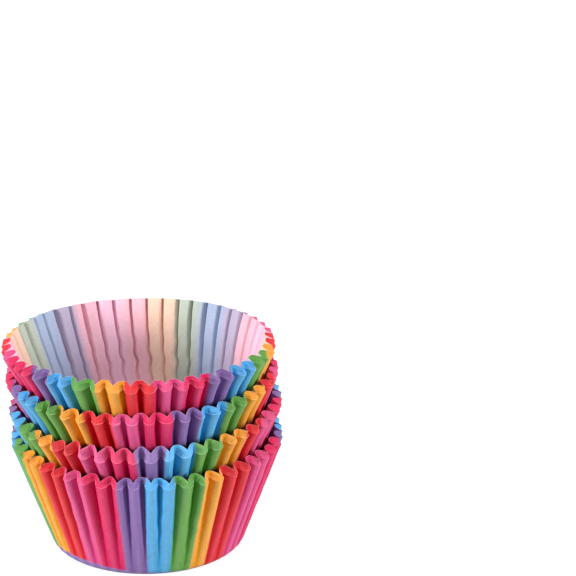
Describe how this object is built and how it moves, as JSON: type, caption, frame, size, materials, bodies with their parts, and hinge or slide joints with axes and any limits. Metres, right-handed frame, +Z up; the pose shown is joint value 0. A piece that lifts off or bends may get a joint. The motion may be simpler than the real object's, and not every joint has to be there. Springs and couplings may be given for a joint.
{
  "type": "stack of cupcake liners",
  "caption": "Loose stack of nested pleated paper baking cups with wide open rims, flat bases and a radial stripe print in rainbow colours.",
  "frame": {"origin": "centre of the flat base of the bottom nest, on the surface the stack stands on", "axes": "+Z up along the stack, -Y towards the side seen in front, +X to the right of that view"},
  "size_m": [0.0742, 0.072, 0.058],
  "materials": {
    "printed_paper": "thin smooth baking paper printed in radial stripes outside, paler inside"
  },
  "bodies": {
    "root": {"liner_nest_1": "printed_paper", "liner_nest_2": "printed_paper", "liner_nest_3": "printed_paper", "liner_nest_4": "printed_paper"}
  },
  "joints": []
}
